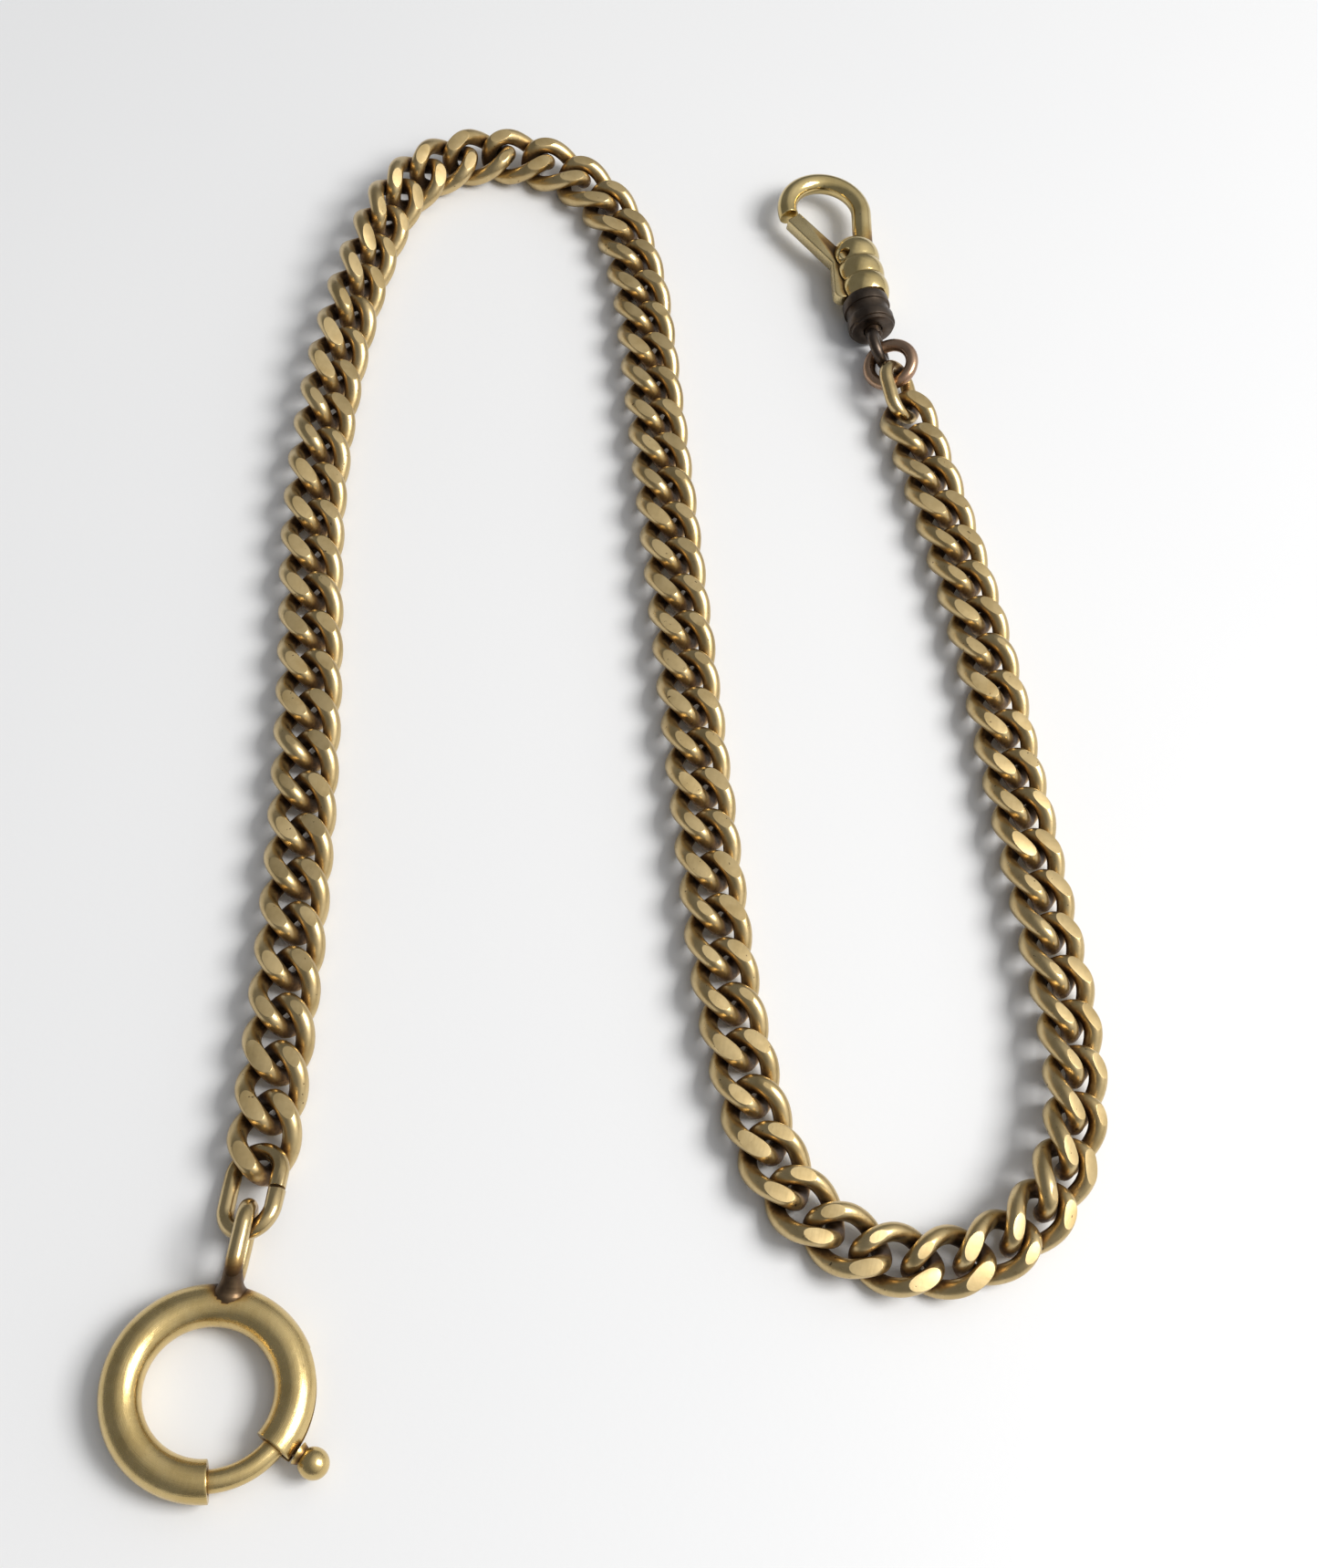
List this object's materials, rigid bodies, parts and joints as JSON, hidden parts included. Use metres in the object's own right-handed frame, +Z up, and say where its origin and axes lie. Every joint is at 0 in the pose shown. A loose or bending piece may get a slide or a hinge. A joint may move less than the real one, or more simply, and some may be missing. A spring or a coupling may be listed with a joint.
{
  "type": "pocket watch chain",
  "caption": "Curb-link pocket watch chain with a spring ring at one end and a swivel hook with a lever gate at the other, lying in a loose S.",
  "frame": {"origin": "on the surface that the chain lies on, straight below the centre of the spring ring", "axes": "+Z up, +Y away from the spring ring along the length of the laid-out chain, +X towards the swivel's side"},
  "size_m": [0.076, 0.1255, 0.0044],
  "materials": {
    "worn_gold": "worn gold plate, satin flats",
    "satin_gold": "brushed gold plate",
    "tarnished_steel": "dark tarnish",
    "spring_steel": "bright spring steel"
  },
  "bodies": {
    "spring_ring": {"ring_case": "satin_gold", "ring_eye": "satin_gold", "ring_spring": "spring_steel"},
    "bolt": {"ring_tongue": "satin_gold", "thumb_stud": "satin_gold"},
    "oval_ring": {"oval_ring": "worn_gold"},
    "links_01": {"links_01": "worn_gold"},
    "links_02": {"links_02": "worn_gold"},
    "links_03": {"links_03": "worn_gold"},
    "links_04": {"links_04": "worn_gold"},
    "links_05": {"links_05": "worn_gold"},
    "links_06": {"links_06": "worn_gold"},
    "links_07": {"links_07": "worn_gold"},
    "links_08": {"links_08": "worn_gold"},
    "links_09": {"links_09": "worn_gold"},
    "links_10": {"links_10": "worn_gold"},
    "links_11": {"links_11": "worn_gold"},
    "links_12": {"links_12": "worn_gold"},
    "links_13": {"links_13": "worn_gold"},
    "links_14": {"links_14": "worn_gold"},
    "links_15": {"links_15": "worn_gold"},
    "links_16": {"links_16": "worn_gold"},
    "links_17": {"links_17": "worn_gold"},
    "links_18": {"links_18": "worn_gold"},
    "links_19": {"links_19": "worn_gold"},
    "links_20": {"links_20": "worn_gold"},
    "links_21": {"links_21": "worn_gold"},
    "links_22": {"links_22": "worn_gold"},
    "links_23": {"links_23": "worn_gold"},
    "links_24": {"links_24": "worn_gold"},
    "links_25": {"links_25": "worn_gold"},
    "links_26": {"links_26": "worn_gold"},
    "links_27": {"links_27": "worn_gold"},
    "links_28": {"links_28": "worn_gold"},
    "links_29": {"links_29": "worn_gold"},
    "links_30": {"links_30": "worn_gold"},
    "links_31": {"links_31": "worn_gold"},
    "links_32": {"links_32": "worn_gold"},
    "links_33": {"links_33": "worn_gold"},
    "links_34": {"links_34": "worn_gold"},
    "links_35": {"links_35": "worn_gold"},
    "links_36": {"links_36": "worn_gold"},
    "links_37": {"links_37": "worn_gold"},
    "links_38": {"links_38": "worn_gold"},
    "links_39": {"links_39": "worn_gold"},
    "links_40": {"links_40": "worn_gold"},
    "links_41": {"links_41": "worn_gold"},
    "links_42": {"links_42": "worn_gold"},
    "end_link": {"end_link": "worn_gold"},
    "swivel_ring": {"swivel_ring": "worn_gold"},
    "swivel_eye": {"swivel_eye": "tarnished_steel"},
    "swivel": {"swivel_barrel": "tarnished_steel", "swivel_body": "worn_gold", "hook": "worn_gold", "gate_pin": "worn_gold", "gate_spring": "spring_steel"},
    "gate": {"gate": "worn_gold"}
  },
  "joints": [
    {"name": "bolt_slide", "type": "hinge", "parent": "spring_ring", "child": "bolt", "pos_m": [0, 0, 0.0014], "axis": [0, 0, 1], "range_deg": [0, 50], "stiffness_Nm_per_rad": 0.0002, "springref_deg": -28.65},
    {"name": "eye_swing", "type": "hinge", "parent": "spring_ring", "child": "oval_ring", "pos_m": [-0.00098, 0.01123, 0.0022], "axis": [0, 0, 1], "range_deg": [-20, 18]},
    {"name": "first_link_fold", "type": "hinge", "parent": "oval_ring", "child": "links_01", "pos_m": [-0.00142, 0.01545, 0.00141], "axis": [-0.9962, -0.0872, 0], "range_deg": [-14, 14]},
    {"name": "link_bend_01", "type": "hinge", "parent": "links_01", "child": "links_02", "pos_m": [-0.00261, 0.02262, 0.00145], "axis": [0, 0, 1], "range_deg": [-22.5, 21]},
    {"name": "link_fold_02", "type": "hinge", "parent": "links_02", "child": "links_03", "pos_m": [-0.00395, 0.0297, 0.00145], "axis": [-0.9806, -0.1959, 0], "range_deg": [-20, 20]},
    {"name": "link_twist_03", "type": "hinge", "parent": "links_03", "child": "links_04", "pos_m": [-0.00543, 0.03674, 0.00145], "axis": [-0.2164, 0.9763, 0], "range_deg": [-12, 12]},
    {"name": "link_bend_04", "type": "hinge", "parent": "links_04", "child": "links_05", "pos_m": [-0.00706, 0.04375, 0.00145], "axis": [0, 0, 1], "range_deg": [-22.5, 21]},
    {"name": "link_fold_05", "type": "hinge", "parent": "links_05", "child": "links_06", "pos_m": [-0.00884, 0.05073, 0.00145], "axis": [-0.9664, -0.2571, 0], "range_deg": [-20, 20]},
    {"name": "link_twist_06", "type": "hinge", "parent": "links_06", "child": "links_07", "pos_m": [-0.01077, 0.05767, 0.00145], "axis": [-0.2773, 0.9608, 0], "range_deg": [-12, 12]},
    {"name": "link_bend_07", "type": "hinge", "parent": "links_07", "child": "links_08", "pos_m": [-0.01277, 0.06458, 0.00154], "axis": [0.0631, 0.017, 0.9979], "range_deg": [-18, 23.5]},
    {"name": "link_fold_08", "type": "hinge", "parent": "links_08", "child": "links_09", "pos_m": [-0.01445, 0.07158, 0.00165], "axis": [-0.9671, -0.2038, 0.1521], "range_deg": [-19.5, 18]},
    {"name": "link_twist_09", "type": "hinge", "parent": "links_09", "child": "links_10", "pos_m": [-0.01574, 0.07867, 0.00176], "axis": [-0.1513, 0.9885, 0], "range_deg": [-14.5, 9.5]},
    {"name": "link_bend_10", "type": "hinge", "parent": "links_10", "child": "links_11", "pos_m": [-0.01663, 0.08581, 0.00187], "axis": [0.32, 0.0308, 0.9469], "range_deg": [-18, 23.5]},
    {"name": "link_fold_11", "type": "hinge", "parent": "links_11", "child": "links_12", "pos_m": [-0.01709, 0.09299, 0.00204], "axis": [-0.8867, -0.0217, 0.4617], "range_deg": [-18.5, 19]},
    {"name": "link_twist_12", "type": "hinge", "parent": "links_12", "child": "links_13", "pos_m": [-0.01695, 0.10019, 0.00218], "axis": [0.1041, 0.9946, 0], "range_deg": [-12, 12]},
    {"name": "link_bend_13", "type": "hinge", "parent": "links_13", "child": "links_14", "pos_m": [-0.0149, 0.10697, 0.00203], "axis": [0.3798, -0.2488, 0.891], "range_deg": [-4, 30.5]},
    {"name": "link_fold_14", "type": "hinge", "parent": "links_14", "child": "links_15", "pos_m": [-0.00938, 0.11127, 0.00179], "axis": [-0.3049, 0.9165, 0.2588], "range_deg": [-7, 11]},
    {"name": "link_twist_15", "type": "hinge", "parent": "links_15", "child": "links_16", "pos_m": [-0.00239, 0.11113, 0.00152], "axis": [0.9361, -0.3518, 0], "range_deg": [-5, 18]},
    {"name": "link_bend_16", "type": "hinge", "parent": "links_16", "child": "links_17", "pos_m": [0.00308, 0.1067, 0.00145], "axis": [0, 0, 1], "range_deg": [-10, 34]},
    {"name": "link_fold_17", "type": "hinge", "parent": "links_17", "child": "links_18", "pos_m": [0.00636, 0.10032, 0.00145], "axis": [0.9278, 0.373, 0], "range_deg": [-20, 20]},
    {"name": "link_twist_18", "type": "hinge", "parent": "links_18", "child": "links_19", "pos_m": [0.00869, 0.09351, 0.00145], "axis": [0.3074, -0.9516, 0], "range_deg": [-12, 12]},
    {"name": "link_bend_19", "type": "hinge", "parent": "links_19", "child": "links_20", "pos_m": [0.0109, 0.08666, 0.00145], "axis": [0, 0, 1], "range_deg": [-22, 22]},
    {"name": "link_fold_20", "type": "hinge", "parent": "links_20", "child": "links_21", "pos_m": [0.01311, 0.07981, 0.00145], "axis": [0.9516, 0.3074, 0], "range_deg": [-20, 20]},
    {"name": "link_twist_21", "type": "hinge", "parent": "links_21", "child": "links_22", "pos_m": [0.01533, 0.07295, 0.00145], "axis": [0.3074, -0.9516, 0], "range_deg": [-12, 12]},
    {"name": "link_bend_22", "type": "hinge", "parent": "links_22", "child": "links_23", "pos_m": [0.01754, 0.0661, 0.00145], "axis": [0, 0, 1], "range_deg": [-22, 14]},
    {"name": "link_fold_23", "type": "hinge", "parent": "links_23", "child": "links_24", "pos_m": [0.01975, 0.05925, 0.00145], "axis": [0.9516, 0.3074, 0], "range_deg": [-20, 20]},
    {"name": "link_twist_24", "type": "hinge", "parent": "links_24", "child": "links_25", "pos_m": [0.02196, 0.0524, 0.00145], "axis": [0.3074, -0.9516, 0], "range_deg": [-12, 12]},
    {"name": "link_bend_25", "type": "hinge", "parent": "links_25", "child": "links_26", "pos_m": [0.02418, 0.04555, 0.00145], "axis": [0, 0, 1], "range_deg": [-22, 9]},
    {"name": "link_fold_26", "type": "hinge", "parent": "links_26", "child": "links_27", "pos_m": [0.02645, 0.03872, 0.00145], "axis": [0.9403, 0.3404, 0], "range_deg": [-20, 20]},
    {"name": "link_twist_27", "type": "hinge", "parent": "links_27", "child": "links_28", "pos_m": [0.02913, 0.03204, 0.00145], "axis": [0.4051, -0.9143, 0], "range_deg": [-12, 12]},
    {"name": "link_bend_28", "type": "hinge", "parent": "links_28", "child": "links_29", "pos_m": [0.03241, 0.02564, 0.00145], "axis": [0, 0, 1], "range_deg": [-32, 6.5]},
    {"name": "link_fold_29", "type": "hinge", "parent": "links_29", "child": "links_30", "pos_m": [0.0376, 0.02085, 0.00159], "axis": [0.4295, 0.8965, 0.1089], "range_deg": [-8.5, 6]},
    {"name": "link_twist_30", "type": "hinge", "parent": "links_30", "child": "links_31", "pos_m": [0.04456, 0.01998, 0.00178], "axis": [0.9803, 0.1977, 0], "range_deg": [-13, 7]},
    {"name": "link_bend_31", "type": "hinge", "parent": "links_31", "child": "links_32", "pos_m": [0.05064, 0.02348, 0.00195], "axis": [0.2912, -0.2585, 0.9211], "range_deg": [-39, 4]},
    {"name": "link_fold_32", "type": "hinge", "parent": "links_32", "child": "links_33", "pos_m": [0.05353, 0.02991, 0.00209], "axis": [-0.8539, 0.1444, 0.5], "range_deg": [-26.5, 13.5]},
    {"name": "link_twist_33", "type": "hinge", "parent": "links_33", "child": "links_34", "pos_m": [0.05329, 0.03705, 0.00194], "axis": [-0.1719, 0.9851, 0], "range_deg": [-7, 17]},
    {"name": "link_bend_34", "type": "hinge", "parent": "links_34", "child": "links_35", "pos_m": [0.05145, 0.044, 0.00176], "axis": [0.2262, 0.0731, 0.9713], "range_deg": [-21.5, 20]},
    {"name": "link_fold_35", "type": "hinge", "parent": "links_35", "child": "links_36", "pos_m": [0.04911, 0.05081, 0.00165], "axis": [-0.9351, -0.3201, 0.1521], "range_deg": [-20, 20]},
    {"name": "link_twist_36", "type": "hinge", "parent": "links_36", "child": "links_37", "pos_m": [0.04678, 0.05763, 0.00154], "axis": [-0.3239, 0.9461, 0], "range_deg": [-9.5, 14.5]},
    {"name": "link_bend_37", "type": "hinge", "parent": "links_37", "child": "links_38", "pos_m": [0.04445, 0.06444, 0.00145], "axis": [0, 0, 1], "range_deg": [-22.5, 9.5]},
    {"name": "link_fold_38", "type": "hinge", "parent": "links_38", "child": "links_39", "pos_m": [0.042, 0.07121, 0.00145], "axis": [-0.9342, -0.3567, 0], "range_deg": [-20, 20]},
    {"name": "link_twist_39", "type": "hinge", "parent": "links_39", "child": "links_40", "pos_m": [0.03931, 0.07789, 0.00145], "axis": [-0.3891, 0.9212, 0], "range_deg": [-12, 12]},
    {"name": "link_bend_40", "type": "hinge", "parent": "links_40", "child": "links_41", "pos_m": [0.0364, 0.08447, 0.00145], "axis": [0, 0, 1], "range_deg": [-23, 21]},
    {"name": "link_fold_41", "type": "hinge", "parent": "links_41", "child": "links_42", "pos_m": [0.03325, 0.09095, 0.00145], "axis": [-0.8938, -0.4485, 0], "range_deg": [-20, 20]},
    {"name": "end_link_swing", "type": "hinge", "parent": "links_42", "child": "end_link", "pos_m": [0.03157, 0.09425, 0.00145], "axis": [0, 0, 1], "range_deg": [-15, 6]},
    {"name": "clasp_ring_fold", "type": "hinge", "parent": "end_link", "child": "swivel_ring", "pos_m": [0.03013, 0.0971, 0.00232], "axis": [-0.8918, -0.4524, 0], "range_deg": [-1.5, 15]},
    {"name": "clasp_eye_swing", "type": "hinge", "parent": "swivel_ring", "child": "swivel_eye", "pos_m": [0.02859, 0.0988, 0.0022], "axis": [0, 0, 1], "range_deg": [-20, 4]},
    {"name": "barrel_turn", "type": "hinge", "parent": "swivel_eye", "child": "swivel", "pos_m": [0.02707, 0.10239, 0.0022], "axis": [-0.3907, 0.9205, 0], "continuous": true},
    {"name": "gate_swing", "type": "hinge", "parent": "swivel", "child": "gate", "pos_m": [0.02331, 0.1083, 0.0022], "axis": [0, 0, 1], "range_deg": [-40, 0], "stiffness_Nm_per_rad": 0.0002, "springref_deg": 28.65}
  ]
}
